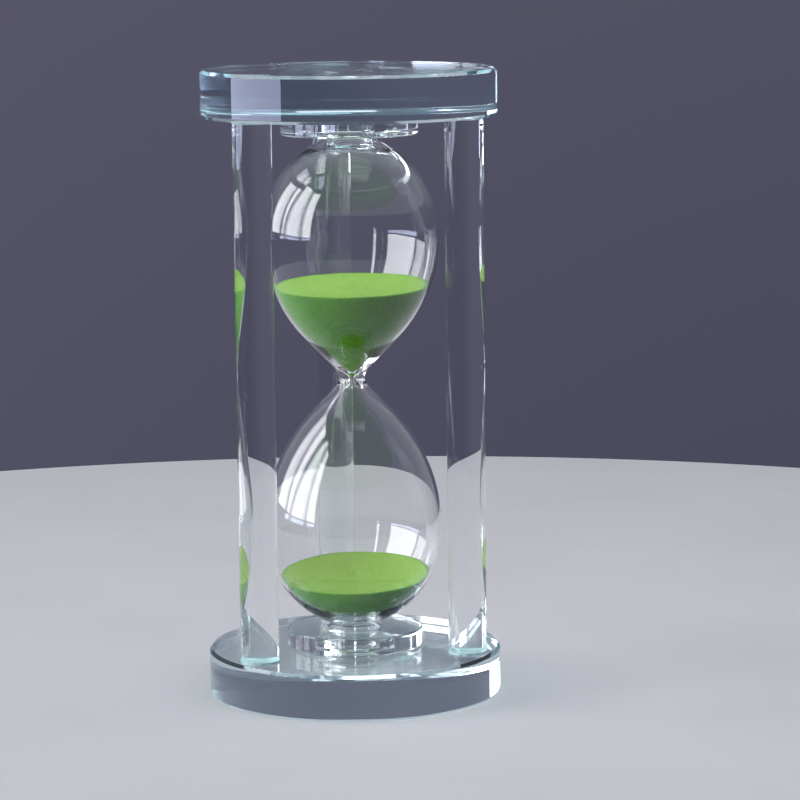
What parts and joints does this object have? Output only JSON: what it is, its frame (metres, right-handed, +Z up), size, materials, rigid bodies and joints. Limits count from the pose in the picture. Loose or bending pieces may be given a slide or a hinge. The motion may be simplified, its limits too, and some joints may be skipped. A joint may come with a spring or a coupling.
{
  "type": "hourglass",
  "caption": "Free-standing glass hourglass: a blown bulb of coloured sand held upright between thick round glass plates joined by solid glass posts.",
  "frame": {"origin": "middle of the base plate's underside", "axes": "+Z up along the axis of the bulb, front of the hourglass towards -Y, +X to its right"},
  "size_m": [0.095, 0.095, 0.2026],
  "materials": {
    "plate_glass": "polished optical glass, faint aqua at the edges",
    "post_glass": "polished solid glass rod",
    "ring_glass": "polished glass washer",
    "bulb_glass": "thin blown clear glass",
    "resin": "cured clear bonding resin, slightly milky aqua",
    "sand": "fine dyed green sand, dry and matte"
  },
  "bodies": {
    "root": {"base_plate": "plate_glass", "top_plate": "plate_glass", "front_left_post": "post_glass", "front_left_foot_bond": "resin", "front_left_head_bond": "resin", "front_right_post": "post_glass", "front_right_foot_bond": "resin", "front_right_head_bond": "resin", "rear_post": "post_glass", "rear_foot_bond": "resin", "rear_head_bond": "resin", "lower_ring": "ring_glass", "upper_ring": "ring_glass", "lower_ring_bond": "resin", "upper_ring_bond": "resin", "lower_bulb_bond": "resin", "upper_bulb_bond": "resin", "glass_bulb": "bulb_glass", "upper_sand": "sand", "lower_sand": "sand", "falling_sand": "sand"}
  },
  "joints": []
}
